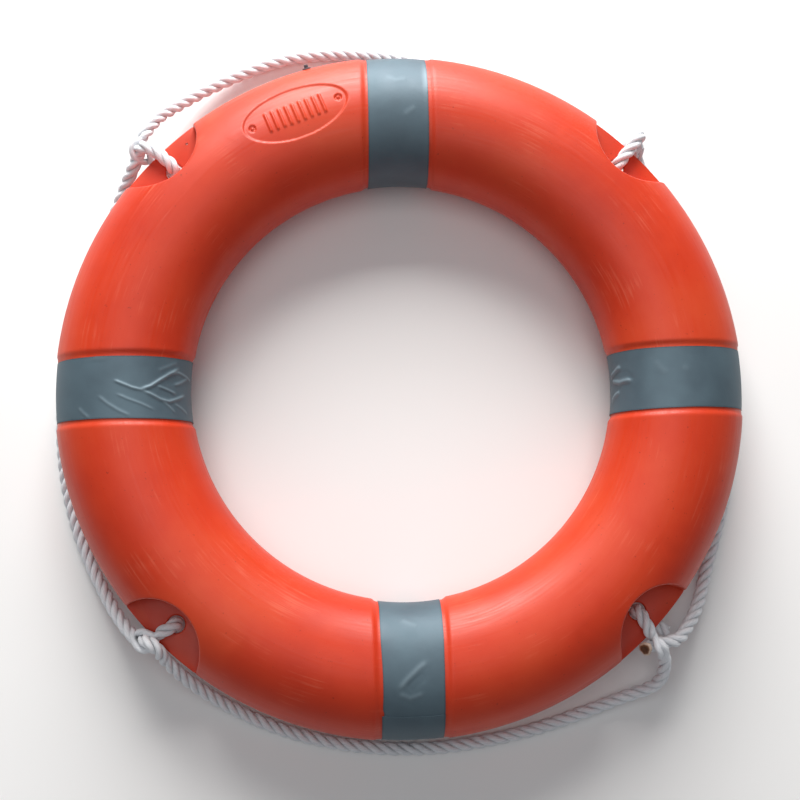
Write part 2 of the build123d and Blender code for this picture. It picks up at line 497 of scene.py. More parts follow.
@dataclass(frozen=True)
class PlugPlastic:
    """Moulded dark grey plastic with a slightly dusty, satin skin."""

    body: str = "4b444a"
    dust: str = "6d646b"
    dust_size: float = 2.5 * MM

    def make(self) -> bpy.types.Material:
        """The finish as a material."""
        material, tree, shader = new_material("plug_plastic")
        place = add_node(tree, "ShaderNodeTexCoord", {}, {}).outputs["Object"]
        noise = add_node(
            tree, "ShaderNodeTexNoise", {"Scale": 1 / self.dust_size, "Detail": 4.0}, {"Vector": place}
        )
        stops = [(0.4, self.body), (0.7, self.dust)]
        colour = add_node(tree, "ShaderNodeValToRGB", {"stops": stops}, {"Fac": noise.outputs["Fac"]})
        tree.links.new(colour.outputs["Color"], shader.inputs["Base Color"])
        bump = add_node(
            tree, "ShaderNodeBump", {"Strength": 0.3, "Distance": 0.1 * MM}, {"Height": noise.outputs["Fac"]}
        )
        tree.links.new(bump.outputs["Normal"], shader.inputs["Normal"])
        shader.inputs["Roughness"].default_value = 0.45
        return material


@dataclass(frozen=True)
class StudioPaper:
    """Seamless white backdrop paper: matte and even."""

    tone: str = "f4f3f2"
    cloud: str = "f1f0ef"
    cloud_size: float = 330 * MM

    def make(self) -> bpy.types.Material:
        """The finish as a material."""
        material, tree, shader = new_material("studio_paper")
        place = add_node(tree, "ShaderNodeTexCoord", {}, {}).outputs["Object"]
        noise = add_node(
            tree, "ShaderNodeTexNoise", {"Scale": 1 / self.cloud_size, "Detail": 2.0}, {"Vector": place}
        )
        stops = [(0.3, self.cloud), (0.7, self.tone)]
        colour = add_node(tree, "ShaderNodeValToRGB", {"stops": stops}, {"Fac": noise.outputs["Fac"]})
        tree.links.new(colour.outputs["Color"], shader.inputs["Base Color"])
        shader.inputs["Roughness"].default_value = 0.9
        return material


# ---------------------------------------------------------------- the ring


@dataclass
class RingForm:
    """The ring's plain surface, which the shell and its bands are both laid on.

    A place on it is a bearing about the ring's axis and an angle round the section, 0 at the outermost
    line and a quarter turn at the top, both in radians.
    """

    outer_radius: float = 360 * MM
    inner_radius: float = 220 * MM
    half_height: float = 57.5 * MM

    @property
    def centre(self) -> float:
        """The radius of the section's centre."""
        return (self.outer_radius + self.inner_radius) / 2

    @property
    def half_width(self) -> float:
        """Half the section's width."""
        return (self.outer_radius - self.inner_radius) / 2

    def normal(self, bearing: Array, turn: Array) -> Array:
        """The outward normal at places on the surface.

        Args:
            bearing: bearings, in radians.
            turn: angles round the section, in radians.

        Returns:
            Unit vectors, one for each place.
        """
        out, up = np.cos(turn) / self.half_width, np.sin(turn) / self.half_height
        size = np.hypot(out, up)
        out, up = out / size, up / size
        return np.stack([out * np.cos(bearing), out * np.sin(bearing), up], axis=-1)

    def point(self, bearing: Array, turn: Array, depth: Array | float = 0.0) -> Array:
        """Points at a depth under the surface.

        Args:
            bearing: bearings, in radians.
            turn: angles round the section, in radians.
            depth: how far under the plain surface each point lies, in metres.

        Returns:
            The points, in metres.
        """
        reach = self.centre + self.half_width * np.cos(turn)
        height = self.half_height + self.half_height * np.sin(turn)
        flat = np.stack([reach * np.cos(bearing), reach * np.sin(bearing), height], axis=-1)
        return flat - np.asarray(depth)[..., None] * self.normal(bearing, turn)

    def place(self, points: Array) -> tuple[Array, Array]:
        """The bearing and angle round the section nearest to points close to the surface."""
        reach = np.hypot(points[..., 0], points[..., 1])
        out = (reach - self.centre) / self.half_width
        up = (points[..., 2] - self.half_height) / self.half_height
        return np.arctan2(points[..., 1], points[..., 0]), np.arctan2(up, out)


@dataclass
class RingShell:
    """The orange moulded shell: grooves, scooped recesses with their holed webs, and the moulded mark."""

    form: RingForm
    groove_bearings: tuple[float, ...] = (0.0, 90.0, 180.0, 270.0)
    groove_half_width: float = 33.7 * MM
    groove_shoulder: float = 5.0 * MM
    groove_depth: float = 2.0 * MM
    recess_bearings: tuple[float, ...] = (45.0, 135.0, 225.0, 315.0)
    recess_radius: float = 50 * MM
    recess_from_axis: float = 367 * MM
    rim_radius: float = 2.4 * MM
    web_thickness: float = 6 * MM
    web_edge_radius: float = 1.6 * MM
    hole_radius: float = 9 * MM
    hole_from_axis: float = 335 * MM
    vent_bearing: float = 129.9
    vent_from_axis: float = 349 * MM
    vent_radius: float = 1.3 * MM
    mark_bearing: float = 110.7
    mark_from_axis: float = 302 * MM
    mark_length: float = 115 * MM
    mark_width: float = 56 * MM
    mark_depth: float = 1.4 * MM
    mark_edge: float = 1.1 * MM
    bar_count: int = 9
    bar_spacing: float = 7.5 * MM
    bar_length: float = 22 * MM
    bar_width: float = 2.6 * MM
    bar_edge: float = 1.2 * MM
    bar_rise: float = 0.85
    pin_spacing: float = 95 * MM
    pin_radius: float = 4.0 * MM
    pin_depth: float = 1.7 * MM
    pin_edge: float = 0.9 * MM
    boss_radius: float = 1.7 * MM
    seam_height: float = 0.3 * MM
    seam_width: float = 0.9 * MM
    patch_half_angle: float = 12.0
    patch_half_turn: float = 84.0
    patch_columns: int = 25
    plain_columns: int = 13
    mark_columns: int = 130
    points: list[Array] = field(default_factory=list)
    faces: list[tuple[int, ...]] = field(default_factory=list)

    def depth(self, bearing: Array, turn: Array) -> Array:
        """How far the skin lies under the ring's plain surface.

        Args:
            bearing: bearings, in radians.
            turn: angles round the section, in radians.

        Returns:
            Depths in metres, negative where the skin stands proud.
        """
        flat = self.form.point(bearing, turn)
        x, y, z = flat[..., 0], flat[..., 1], flat[..., 2]
        sunk = np.zeros_like(x)
        for degrees in self.groove_bearings:
            way = math.radians(degrees)
            side = np.abs(y * math.cos(way) - x * math.sin(way))
            ahead = x * math.cos(way) + y * math.sin(way)
            rise = smoothstep((self.groove_half_width + self.groove_shoulder - side) / self.groove_shoulder)
            sunk += np.where(ahead > 0, self.groove_depth * rise, 0.0)
        seam = np.exp(-(((z - self.form.half_height) / self.seam_width) ** 2))
        sunk -= self.seam_height * seam * (1 - sunk / self.groove_depth)
        return sunk + self.mark_sink(x, y, z)

    def mark_sink(self, x: Array, y: Array, z: Array) -> Array:
        """The depth that the moulded mark adds at points on the plain surface."""
        way = math.radians(self.mark_bearing)
        across = x * math.cos(way) + y * math.sin(way) - self.mark_from_axis
        along = y * math.cos(way) - x * math.sin(way)
        oval = np.sqrt((along / (self.mark_length / 2)) ** 2 + (across / (self.mark_width / 2)) ** 2)
        sunk = self.mark_depth * smoothstep((1 - oval) * self.mark_width / 2 / self.mark_edge)
        for bar in range(self.bar_count):
            place = (bar - (self.bar_count - 1) / 2) * self.bar_spacing
            off = np.maximum(
                np.abs(along - place) - self.bar_width / 2, np.abs(across) - self.bar_length / 2
            )
            sunk -= self.mark_depth * self.bar_rise * smoothstep(0.5 - off / self.bar_edge)
        for side in (-1, 1):
            far = np.hypot(along - side * self.pin_spacing / 2, across)
            ring = smoothstep((self.pin_radius - far) / self.pin_edge) * smoothstep(
                (far - self.boss_radius + 0.5 * MM) / self.pin_edge
            )
            sunk += self.pin_depth * ring
        return np.where(z > self.form.half_height, sunk, 0.0)

    def columns(self) -> Array:
        """Bearings of the mesh's columns, in degrees: close together at grooves, recesses and the mark."""
        edge = math.degrees(math.asin(self.groove_half_width / self.form.centre))
        bearings: set[float] = set()
        for middle in self.groove_bearings:
            bearings.update(middle + v for v in np.linspace(-edge + 0.9, edge - 0.9, 9))
            for side in (-1, 1):
                bearings.update(middle + side * v for v in np.linspace(edge - 0.6, edge + 3.4, 11))
        for middle in self.recess_bearings:
            spread = np.linspace(-self.patch_half_angle, self.patch_half_angle, self.patch_columns)
            bearings.update(middle + v for v in spread)
        free: list[tuple[float, float]] = []
        for middle in self.groove_bearings:
            free.append((middle + edge + 3.4, middle + 45 - self.patch_half_angle))
            free.append((middle - 45 + self.patch_half_angle, middle - edge - 3.4))
        for low, high in free:
            marked = low < self.mark_bearing < high
            bearings.update(np.linspace(low, high, self.mark_columns if marked else self.plain_columns))
        return np.array(sorted({round(b % 360, 4) for b in bearings}))

    def rows(self) -> Array:
        """Angles round the section of the mesh's rows, in degrees, close together where the mark lies.

        The rows between the recess openings' ends are the same above and below.
        """
        shared = [0.0, 0.7, 1.4, 2.2, 3.4]
        shared += list(np.linspace(5.5, 50, 17))
        shared += list(np.linspace(50, self.patch_half_turn, 35))[1:]
        inner = list(np.linspace(106, 177, 22))[1:] + [178.2, 179.1]
        front = shared + list(np.linspace(self.patch_half_turn, 106, 23))[1:] + inner + [180.0]
        back = shared[1:] + list(np.linspace(self.patch_half_turn, 106, 7))[1:] + inner
        return np.array([-v for v in reversed(back)] + front)

    def add(self, ring: Array) -> int:
        """Adds a run of points and returns the number of its first one."""
        start = sum(len(p) for p in self.points)
        self.points.append(ring.reshape(-1, 3))
        return start

    def make_skin(self) -> None:
        """Lays the skin over the whole ring, with an opening left for each recess."""
        columns, rows = self.columns(), self.rows()
        bearing, turn = np.meshgrid(np.radians(columns), np.radians(rows), indexing="ij")
        start = self.add(self.form.point(bearing, turn, self.depth(bearing, turn)))
        count, high = len(columns), len(rows)
        low_row = int(np.argmin(np.abs(rows + self.patch_half_turn)))
        top_row = int(np.argmin(np.abs(rows - self.patch_half_turn)))
        patches = []
        for middle in self.recess_bearings:
            first = int(np.argmin(np.abs(columns - middle + self.patch_half_angle)))
            last = int(np.argmin(np.abs(columns - middle - self.patch_half_angle)))
            patches.append((middle, first, last))
        for i in range(count):
            open_here = any(first <= i < last for _, first, last in patches)
            for j in range(high):
                if open_here and low_row <= j < top_row:
                    continue
                a, b = i * high, ((i + 1) % count) * high
                k = (j + 1) % high
                self.faces.append((start + a + j, start + b + j, start + b + k, start + a + k))
        for middle, first, last in patches:
            loop = [(i, low_row) for i in range(first, last)]
            loop += [(last, j) for j in range(low_row, top_row)]
            loop += [(i, top_row) for i in range(last, first, -1)]
            loop += [(first, j) for j in range(top_row, low_row, -1)]
            mirror = {place: n for n, place in enumerate(loop)}
            pairs = [mirror[(i, low_row + top_row - j)] for i, j in loop]
            numbers = [start + i * high + j for i, j in loop]
            places = np.radians(np.array([(columns[i], rows[j]) for i, j in loop]))
            self.make_recess(math.radians(middle), places, numbers, pairs)

    def make_recess(self, middle: float, places: Array, numbers: list[int], pairs: list[int]) -> None:
        """Fills one opening with the skin round the recess, its rounded rim and its upright wall.

        Args:
            middle: the recess's bearing, in radians.
            places: bearing and angle round the section of the opening's corners, in order.
            numbers: the vertex numbers of those corners.
            pairs: for each corner, the one at the same bearing on the other face.
        """
        form, far, radius = self.form, self.recess_from_axis, self.recess_radius
        last = math.acos((form.outer_radius**2 - far**2 - radius**2) / (2 * far * radius))
        sweep = np.linspace(last, 2 * math.pi - last, 721)
        reach = np.hypot(far + radius * np.cos(sweep), radius * np.sin(sweep))
        side = np.arctan2(radius * np.sin(sweep), far + radius * np.cos(sweep))
        turn = np.arccos(np.clip((reach - form.centre) / form.half_width, -1, 1))
        aspect = np.arctan2(turn / turn.max(), side / side.max())
        wanted = np.arctan2(np.abs(places[:, 1]) / turn.max(), (places[:, 0] - middle) / side.max())
        azimuth = np.interp(wanted, aspect, sweep)
        up = np.sign(np.round(places[:, 1], 6))
        reach = np.hypot(far + radius * np.cos(azimuth), radius * np.sin(azimuth))
        side = np.arctan2(radius * np.sin(azimuth), far + radius * np.cos(azimuth))
        turn = up * np.arccos(np.clip((reach - form.centre) / form.half_width, -1, 1))
        corner = form.point(middle + side, turn)
        skin_normal = form.normal(middle + side, turn)
        inwards = -np.stack(
            [np.cos(azimuth + middle), np.sin(azimuth + middle), np.zeros_like(azimuth)], axis=-1
        )
        share = 1 + np.sum(skin_normal * inwards, axis=1, keepdims=True)
        ball = corner - self.rim_radius * (skin_normal + inwards) / share
        rim_side, rim_turn = form.place(ball + self.rim_radius * skin_normal)
        rim_side = np.arctan2(np.sin(rim_side - middle), np.cos(rim_side - middle)) + middle
        rings = [numbers]
        for share_out in (0.72, 0.5, 0.32, 0.18, 0.08, 0.0):
            bearings = rim_side + share_out * (places[:, 0] - rim_side)
            turns = rim_turn + share_out * (places[:, 1] - rim_turn)
            first = self.add(form.point(bearings, turns, self.depth(bearings, turns)))
            rings.append(list(range(first, first + len(numbers))))
        for step in (0.2, 0.4, 0.6, 0.8, 1.0):
            way = unit(skin_normal * (1 - step) + inwards * step)
            first = self.add(ball + self.rim_radius * way)
            rings.append(list(range(first, first + len(numbers))))
        count = len(numbers)
        for outer, inner in zip(rings, rings[1:]):
            for k in range(count):
                n = (k + 1) % count
                self.faces.append((outer[k], outer[n], inner[n], inner[k]))
        wall = rings[-1]
        for k in range(count):
            n = (k + 1) % count
            if up[k] < 0 or up[n] < 0 or (up[k] == 0 and up[n] == 0):
                continue
            corners = [wall[k], wall[n], wall[pairs[n]], wall[pairs[k]]]
            kept = [c for c, before in zip(corners, [None, *corners]) if c != before]
            if kept[0] == kept[-1]:
                kept.pop()
            self.faces.append(tuple(kept))

    def make_web(self, middle: float, vent: bool) -> bpy.types.Object:
        """One flat web across a recess, with rounded edges and its rope hole.

        Args:
            middle: the recess's bearing, in degrees.
            vent: whether the small vent hole is drilled in it.

        Returns:
            The web, as its own object.
        """
        buried = self.recess_radius + 1.5 * MM
        around = np.linspace(0, 2 * math.pi, 160, endpoint=False)
        hole = np.stack([np.cos(around), np.sin(around)], axis=-1)
        outline = []
        for way in hole:
            low, high = 0.0, 0.2
            for _ in range(40):
                mid = (low + high) / 2
                spot = np.array([self.hole_from_axis, 0.0]) + mid * way
                inside = math.hypot(*spot) < self.form.outer_radius
                inside = inside and math.hypot(spot[0] - self.recess_from_axis, spot[1]) < buried
                low, high = (mid, high) if inside else (low, mid)
            outline.append(low)
        reach = np.array(outline)[:, None]
        half, edge = self.web_thickness / 2, self.web_edge_radius
        levels: list[tuple[Array | float, float]] = []
        for step in np.linspace(0, math.pi / 2, 5):
            radius = self.hole_radius + edge * (1 - math.cos(step))
            levels.append((radius, half - edge + edge * math.sin(step)))
        levels.append((0.5 * (self.hole_radius + edge + reach - edge), half))
        for step in np.linspace(math.pi / 2, 0, 5):
            levels.append((reach - edge * (1 - math.cos(step)), half - edge + edge * math.sin(step)))
        levels += [(radius, -height) for radius, height in reversed(levels)]
        rings = []
        for radius, height in levels:
            flat = np.array([self.hole_from_axis, 0.0]) + radius * hole
            rings.append(np.column_stack([flat, np.full(len(hole), self.form.half_height + height)]))
        count, faces = len(hole), []
        for i in range(len(rings)):
            j = (i + 1) % len(rings)
            for k in range(count):
                n = (k + 1) % count
                faces.append((i * count + k, i * count + n, j * count + n, j * count + k))
        web = mesh_object("web", np.vstack(rings), faces)
        web.rotation_euler = (0.0, 0.0, math.radians(middle))
        settle(web)
        if vent:
            way = math.radians(self.vent_bearing)
            spot = (self.vent_from_axis * math.cos(way), self.vent_from_axis * math.sin(way))
            deselect()
            bpy.ops.mesh.primitive_cylinder_add(
                vertices=20, radius=self.vent_radius, depth=0.02, location=(*spot, self.form.half_height)
            )
            drill = bpy.context.object
            settle(drill)
            cut(web, drill)
        pick(web)
        bpy.ops.object.shade_smooth_by_angle(angle=math.radians(50))
        return web

    def build(self) -> bpy.types.Object:
        """Builds the whole shell.

        Returns:
            The shell as one object.
        """
        self.make_skin()
        shell = mesh_object("ring_shell", np.vstack(self.points), self.faces)
        webs = [self.make_web(b, b == 135.0) for b in self.recess_bearings]
        pick(shell)
        for web in webs:
            web.select_set(True)
        bpy.ops.object.join()
        spots = np.array([v.co[:] for v in shell.data.vertices])
        bearing, turn = self.form.place(spots)
        girth = shell.data.attributes.new("girth", "FLOAT_VECTOR", "POINT")
        around = np.stack([self.form.centre * bearing, self.form.half_width * turn, 0 * turn], axis=-1)
        girth.data.foreach_set("vector", around.astype(np.float32).reshape(-1))
        return shell


def cut(obj: bpy.types.Object, tool: bpy.types.Object) -> None:
    """Cuts a tool's shape out of an object and removes the tool."""
    modifier = obj.modifiers.new("cut", "BOOLEAN")
    modifier.operation = "DIFFERENCE"
    modifier.solver = "EXACT"
    modifier.object = tool
    pick(obj)
    bpy.ops.object.modifier_apply(modifier="cut")
    bpy.data.objects.remove(tool)


# ---------------------------------------------------------------- bands and plug


@dataclass(frozen=True)
class Crease:
    """A raised fold in a band, or a dent where its height is negative.

    The line's points are turns round the section, in degrees, and places across the band, in millimetres.
    """

    line: tuple[tuple[float, float], ...]
    height: float
    width: float


@dataclass(frozen=True)
class Nick:
    """A stretch where a band's edge stands back from the groove's side, or has come unstuck and lifts."""

    side: int
    turn: float
    spread: float
    back: float
    lift: float = 0.0


@dataclass
class ReflectiveBand:
    """One strip of reflective tape stuck right round the section, with its end lapped over its start."""

    name: str
    bearing: float
    lap_turn: float
    phase: float
    creases: tuple[Crease, ...] = ()
    nicks: tuple[Nick, ...] = ()
    form: RingForm = field(default_factory=RingForm)
    width: float = 62.7 * MM
    sunk: float = 0.95 * MM
    film: float = 0.4 * MM
    deepest: float = 0.2 * MM
    lap: float = 12.0
    wave: float = 0.35 * MM
    rubbed_height: float = 0.9 * MM
    most_rubbed: float = 0.8
    grimy_width: float = 0.9 * MM
    lap_lift: float = 1.15
    curl_from: float = 0.8
    hidden_turns: tuple[float, float] = (188.0, 352.0)
    columns: int = 65

    def edge(self, turns: Array, side: int) -> Array:
        """How far the tape's edge stands from its middle at each turn, in metres."""
        way = np.radians(turns)
        wander = sum(np.sin(k * way + self.phase * k + side * k * k) / k**0.5 for k in (3, 5, 8, 13, 21))
        reach = self.width / 2 + self.wave * wander / 3
        for nick in self.nicks:
            if nick.side == side:
                reach = reach - nick.back * MM * np.exp(-(((turns - nick.turn) / nick.spread) ** 2))
        return reach

    def relief(self, turns: Array, sides: Array) -> Array:
        """The height of the creases over the plain tape.

        Args:
            turns: turns round the section, in degrees.
            sides: places across the band, in metres.

        Returns:
            Heights in metres.
        """
        arc = math.radians(1) * (self.form.half_width + self.form.half_height) / 2
        x, y = turns * arc, sides
        total = np.zeros_like(x)
        for crease in self.creases:
            line = np.array(crease.line) * np.array([arc, MM])
            run = lengths_along(line)
            best = np.full(x.shape, np.inf)
            share = np.zeros_like(x)
            for start, end, before, after in zip(line, line[1:], run, run[1:]):
                step = end - start
                along = ((x - start[0]) * step[0] + (y - start[1]) * step[1]) / float(step @ step)
                along = np.clip(along, 0.0, 1.0)
                far = np.hypot(x - start[0] - along * step[0], y - start[1] - along * step[1])
                nearer = far < best
                best = np.where(nearer, far, best)
                share = np.where(nearer, (before + along * (after - before)) / run[-1], share)
            fade = smoothstep(share * 5 + 0.15) * smoothstep((1 - share) * 5 + 0.3)
            total += crease.height * MM * fade * np.exp(-((best / (crease.width * MM)) ** 2))
        return total

    def build(self, finish: bpy.types.Material) -> bpy.types.Object:
        """Builds and dresses the band.

        Args:
            finish: the tape's material.

        Returns:
            The band as one object.
        """
        visible = np.arange(self.lap_turn, self.lap_turn + 360 + self.lap, 1.0)
        fine = (visible % 360 < self.hidden_turns[0]) | (visible % 360 > self.hidden_turns[1])
        coarse = np.arange(len(visible)) % 3 == 0
        turns = visible[fine | coarse]
        across = np.linspace(-1, 1, self.columns)
        turn, share = np.meshgrid(turns, across, indexing="ij")
        reach = np.where(share < 0, self.edge(turn, -1), self.edge(turn, 1))
        side = share * reach
        height = self.relief(turn % 360, side)
        for nick in self.nicks:
            window = np.exp(-(((turn % 360 - nick.turn) / nick.spread) ** 2))
            curl = smoothstep((nick.side * side / self.width * 2 - self.curl_from) / (1 - self.curl_from))
            height += nick.lift * MM * window * curl
        height = np.maximum(height, -self.deepest)
        layer = self.lap_lift * self.film * (1 - (turn - self.lap_turn) / 360)
        sunk = self.sunk + np.maximum(layer, 0.0) - height
        way = np.radians(turn)
        from_axis = self.form.centre + self.form.half_width * np.cos(way)
        bearing = math.radians(self.bearing) + np.arcsin(side / from_axis)
        points = self.form.point(bearing, way, sunk)
        faces = []
        for i in range(len(turns) - 1):
            for j in range(self.columns - 1):
                a, b = i * self.columns + j, (i + 1) * self.columns + j
                faces.append((a, a + 1, b + 1, b))
        band = mesh_object(self.name + "_tape", points.reshape(-1, 3), faces)
        write_values(band.data, "raised", np.clip(height / self.rubbed_height, 0, self.most_rubbed))
        near = self.edge(turn, 1) * (1 - np.abs(share)) / self.grimy_width
        write_values(band.data, "edge", np.exp(-(near**2)))
        way_out = band.data.vertices[0].normal.dot(Vector(self.form.normal(bearing[0, 0], way[0, 0])))
        if way_out < 0:
            band.data.flip_normals()
        wall = band.modifiers.new("film", "SOLIDIFY")
        wall.thickness = self.film
        wall.offset = -1.0
        pick(band)
        bpy.ops.object.modifier_apply(modifier="film")
        bpy.ops.object.shade_smooth_by_angle(angle=math.radians(50))
        band.data.materials.append(finish)
        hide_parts(self.name)
        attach(band, "ring")
        log.info("%s: %d faces", band.name, len(band.data.polygons))
        return band


BANDS: tuple[ReflectiveBand, ...] = (
    ReflectiveBand(
        "band_top",
        90.0,
        196.0,
        0.7,
        creases=(
            Crease(((164.0, 11.0), (151.0, 0.0), (138.5, -13.6)), -0.5, 3.6),
            Crease(((60.0, 12.0), (66.0, 2.0), (64.0, -10.0)), 0.22, 3.0),
            Crease(((92.0, -18.0), (99.0, -6.0)), 0.25, 2.6),
        ),
        nicks=(
            Nick(-1, 178.0, 26.0, 4.2),
            Nick(-1, 62.0, 17.0, -1.9, 0.9),
            Nick(1, 110.0, 24.0, 1.2),
        ),
    ),
    ReflectiveBand(
        "band_left",
        180.0,
        206.0,
        2.1,
        creases=(
            Crease(((88.8, -7.0), (96.5, -3.0), (104.2, 0.8), (112.0, 3.0)), 1.0, 1.25),
            Crease(((110.0, 3.2), (120.2, -1.2), (128.9, -8.0), (138.4, -14.7), (148.4, -20.7)), 1.35, 1.5),
            Crease(((138.4, -14.7), (148.8, -16.8), (159.7, -14.2), (172.1, -10.9)), 0.8, 1.2),
            Crease(
                ((112.0, 3.0), (120.1, 7.1), (128.7, 11.9), (137.3, 13.7), (146.6, 10.5), (158.4, 5.8)),
                1.25,
                1.4,
            ),
            Crease(((125.4, -1.9), (134.7, 1.3), (145.6, 5.2)), 0.75, 1.3),
            Crease(((143.3, -3.4), (152.2, -6.4), (163.8, -12.8)), 0.8, 1.4),
            Crease(((75.3, 7.8), (83.9, 16.8), (92.7, 23.8), (101.4, 29.0)), 0.5, 1.5),
            Crease(((90.4, 6.5), (100.9, 12.3), (111.6, 17.0), (121.9, 22.4)), 0.55, 1.2),
            Crease(((56.7, 18.9), (61.3, 25.1), (66.4, 30.0)), 0.45, 1.5),
            Crease(((130.5, 13.2), (137.0, 18.6), (142.9, 24.0)), 0.6, 1.3),
            Crease(((142.7, 15.2), (152.4, 19.2), (161.5, 24.2)), 0.55, 1.4),
            Crease(((126.0, -17.0), (136.0, -22.0), (146.0, -27.0)), 0.35, 1.8),
            Crease(((128.0, 4.0), (140.0, 7.5)), -0.7, 2.6),
            Crease(((134.0, -6.0), (146.0, -10.5)), -0.6, 3.0),
        ),
        nicks=(Nick(-1, 74.0, 7.0, 1.3, 0.5), Nick(1, 104.0, 30.0, 0.5)),
    ),
    ReflectiveBand(
        "band_bottom",
        270.0,
        42.0,
        4.4,
        creases=(
            Crease(((77.7, -15.0), (86.9, -5.5), (95.6, 6.1), (99.7, 13.8)), 0.55, 2.6),
            Crease(((78.0, -5.0), (84.7, 4.0), (88.9, 11.7)), -0.5, 3.4),
            Crease(((74.5, -15.1), (70.5, -3.9), (74.1, 9.2)), 0.4, 2.6),
            Crease(((140.0, -10.0), (132.0, 6.0)), 0.25, 3.0),
        ),
        nicks=(
            Nick(-1, 55.0, 3.2, 1.5),
            Nick(-1, 80.0, 26.0, 1.5),
            Nick(1, 84.0, 40.0, 0.6),
        ),
    ),
    ReflectiveBand(
        "band_right",
        0.0,
        214.0,
        5.6,
        creases=(
            Crease(((154.9, 16.0), (167.5, 10.9), (176.3, 7.1)), 1.7, 2.2),
            Crease(((173.7, 4.6), (157.6, 7.3), (148.2, 8.0), (141.9, 2.1)), -0.9, 2.2),
            Crease(((173.7, 3.6), (158.3, -0.6), (150.0, 0.2), (143.1, 0.3)), 1.6, 2.3),
            Crease(((177.5, 2.1), (167.3, -4.4), (160.2, -8.4)), -1.0, 2.2),
            Crease(((158.6, -9.7), (167.6, -13.5), (175.0, -18.6)), 1.4, 2.2),
            Crease(((164.0, 21.0), (171.0, 14.0)), -0.8, 2.6),
            Crease(((118.5, 18.3), (115.0, 11.1), (109.1, 3.7)), 0.16, 3.4),
            Crease(((96.0, 9.9), (90.6, 7.7)), 0.14, 3.2),
        ),
        nicks=(Nick(1, 60.0, 40.0, 0.4), Nick(-1, 30.0, 12.0, 0.8)),
    ),
)


@dataclass
class VentPlug:
    """The plug pushed into the foaming hole: a thin round head and the blunt nib it is pushed home by."""

    form: RingForm
    bearing: float = 105.4
    above_middle: float = 18.5 * MM
    head_radius: float = 4.5 * MM
    head_thickness: float = 1.4 * MM
    nib_radius: float = 2.2 * MM
    nib_length: float = 3.6 * MM
    edge: float = 0.6 * MM

    def build(self, finish: bpy.types.Material) -> bpy.types.Object:
        """Builds and dresses the plug.

        Args:
            finish: the plug's material.

        Returns:
            The plug as one object.
        """
        turn = math.asin(self.above_middle / self.form.half_height)
        foot = Vector(self.form.point(math.radians(self.bearing), turn))
        out = Vector(self.form.normal(math.radians(self.bearing), turn))
        tilt = out.to_track_quat("Z", "Y").to_euler()
        pieces = []
        lifts = (self.head_thickness * 0.7, self.head_thickness + self.nib_length / 2)
        for radius, depth, lift in (
            (self.head_radius, self.head_thickness, lifts[0]),
            (self.nib_radius, self.nib_length, lifts[1]),
        ):
            deselect()
            bpy.ops.mesh.primitive_cylinder_add(
                vertices=40, radius=radius, depth=depth, location=foot + out * lift, rotation=tilt
            )
            piece = bpy.context.object
            rounding = piece.modifiers.new("rounding", "BEVEL")
            rounding.width = self.edge
            rounding.segments = 3
            pick(piece)
            bpy.ops.object.modifier_apply(modifier="rounding")
            settle(piece)
            pieces.append(piece)
        head, nib = pieces
        pick(head)
        nib.select_set(True)
        bpy.ops.object.join()
        head.name = "vent_plug_moulding"
        bpy.ops.object.shade_smooth_by_angle(angle=math.radians(40))
        head.data.materials.clear()
        head.data.materials.append(finish)
        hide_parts("vent_plug")
        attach(head, "ring")
        return head


# ---------------------------------------------------------------- the grab rope


class Corner(Enum):
    """The four recesses, by bearing in degrees."""

    UPPER_RIGHT = 45.0
    UPPER_LEFT = 135.0
    LOWER_LEFT = 225.0
    LOWER_RIGHT = 315.0

    def to_frame(self, points: Sequence[Sequence[float]]) -> Array:
        """Turns places at a corner into points in the shared frame.

        Args:
            points: distance out from the ring's axis, distance along its edge and height, in millimetres.

        Returns:
            The points, in metres.
        """
        way = math.radians(self.value)
        out = np.array([math.cos(way), math.sin(way), 0.0])
        along = np.array([-math.sin(way), math.cos(way), 0.0])
        local = np.asarray(points, float)
        up = np.array([0.0, 0.0, 1.0])
        return MM * (local[..., :1] * out + local[..., 1:2] * along + local[..., 2:] * up)


def nurbs_line(name: str, points: Array) -> Array:
    """The smooth line of a NURBS spline with these control points.

    Args:
        name: the line's name.
        points: the control points, in metres.

    Returns:
        Points along the spline, in order.
    """
    curve = bpy.data.curves.new(name, "CURVE")
    curve.dimensions = "3D"
    curve.resolution_u = 24
    spline = curve.splines.new("NURBS")
    spline.points.add(len(points) - 1)
    for target, point in zip(spline.points, points):
        target.co = (*point, 1.0)
    spline.order_u = 3
    spline.use_endpoint_u = True
    obj = bpy.data.objects.new(name, curve)
    bpy.context.scene.collection.objects.link(obj)
    bpy.context.view_layer.update()
    mesh = bpy.data.meshes.new_from_object(obj)
    line = np.array([v.co[:] for v in mesh.vertices])
    bpy.data.objects.remove(obj)
    bpy.data.meshes.remove(mesh)
    return line


def lengths_along(line: Array) -> Array:
    """The distance along a line at each of its points."""
    return np.concatenate([[0.0], np.cumsum(np.linalg.norm(np.diff(line, axis=0), axis=1))])


def evenly(line: Array, step: float) -> Array:
    """A line with its points respaced evenly, about a step apart."""
    along = lengths_along(line)
    wanted = np.linspace(0.0, along[-1], max(int(round(along[-1] / step)), 2) + 1)
    return np.stack([np.interp(wanted, along, line[:, i]) for i in range(3)], axis=1)


